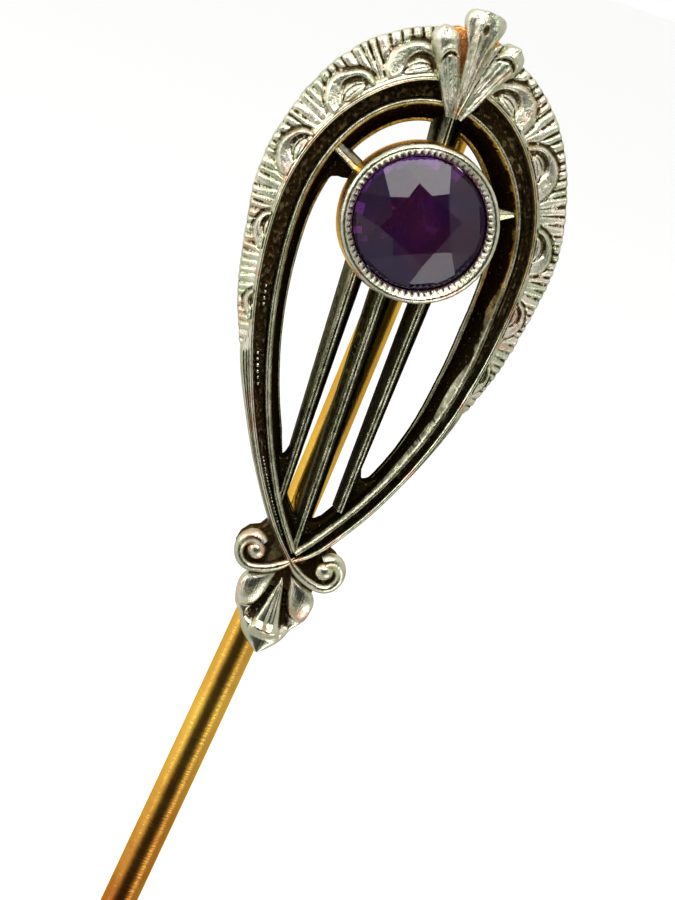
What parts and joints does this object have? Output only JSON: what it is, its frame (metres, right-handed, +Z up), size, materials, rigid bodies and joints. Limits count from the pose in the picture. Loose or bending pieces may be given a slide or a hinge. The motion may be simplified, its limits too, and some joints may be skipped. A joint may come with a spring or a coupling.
{
  "type": "hat pin",
  "caption": "Pear-shaped openwork hat pin head with engraved rim, bars, scrolls, a palmette, a fleur and a round faceted stone, soldered to a slightly bent, pointed wire stem.",
  "frame": {"origin": "on the axis of the stem, 22 mm below the point where the border wires cross, where the cloth of a hat or lapel holds the pin", "axes": "+Z up towards the head, with the head's own middle line along Z; the decorated face looks along -Y; +X is to the right seen from the front"},
  "size_m": [0.0099, 0.0035, 0.0656],
  "materials": {
    "white_gold": "polished white gold, worn, grime in the engraving",
    "aged_white_gold": "white gold with a brown tarnish film, bright on the ridges",
    "oxidised_gold": "dark oxidised recess, matt",
    "yellow_gold": "polished yellow gold with fine scratches",
    "rose_gold": "satin rose gold",
    "amethyst": "faceted and polished, dark purple"
  },
  "bodies": {
    "root": {"back_frame": "aged_white_gold", "inner_rail_right": "aged_white_gold", "inner_rail_left": "aged_white_gold", "border_wire_right": "white_gold", "border_wire_left": "white_gold", "engraved_rim_right": "white_gold", "engraved_rim_left": "white_gold", "milgrain_strip": "oxidised_gold", "bezel_cup": "yellow_gold", "milgrain_collar": "white_gold", "bezel_seat": "yellow_gold", "amethyst": "amethyst", "bar_left": "aged_white_gold", "bar_centre": "aged_white_gold", "bar_right": "aged_white_gold", "top_bar": "aged_white_gold", "ray_upper_left": "aged_white_gold", "ray_right": "aged_white_gold", "scroll_plate": "oxidised_gold", "volute_right": "white_gold", "volute_left": "white_gold", "volute_ball_right": "white_gold", "volute_ball_left": "white_gold", "palmette": "white_gold", "fleur_back": "rose_gold", "fleur_leaf_right": "white_gold", "fleur_leaf_left": "white_gold", "fleur_leaf_centre": "white_gold", "pin_stem": "yellow_gold"}
  },
  "joints": []
}
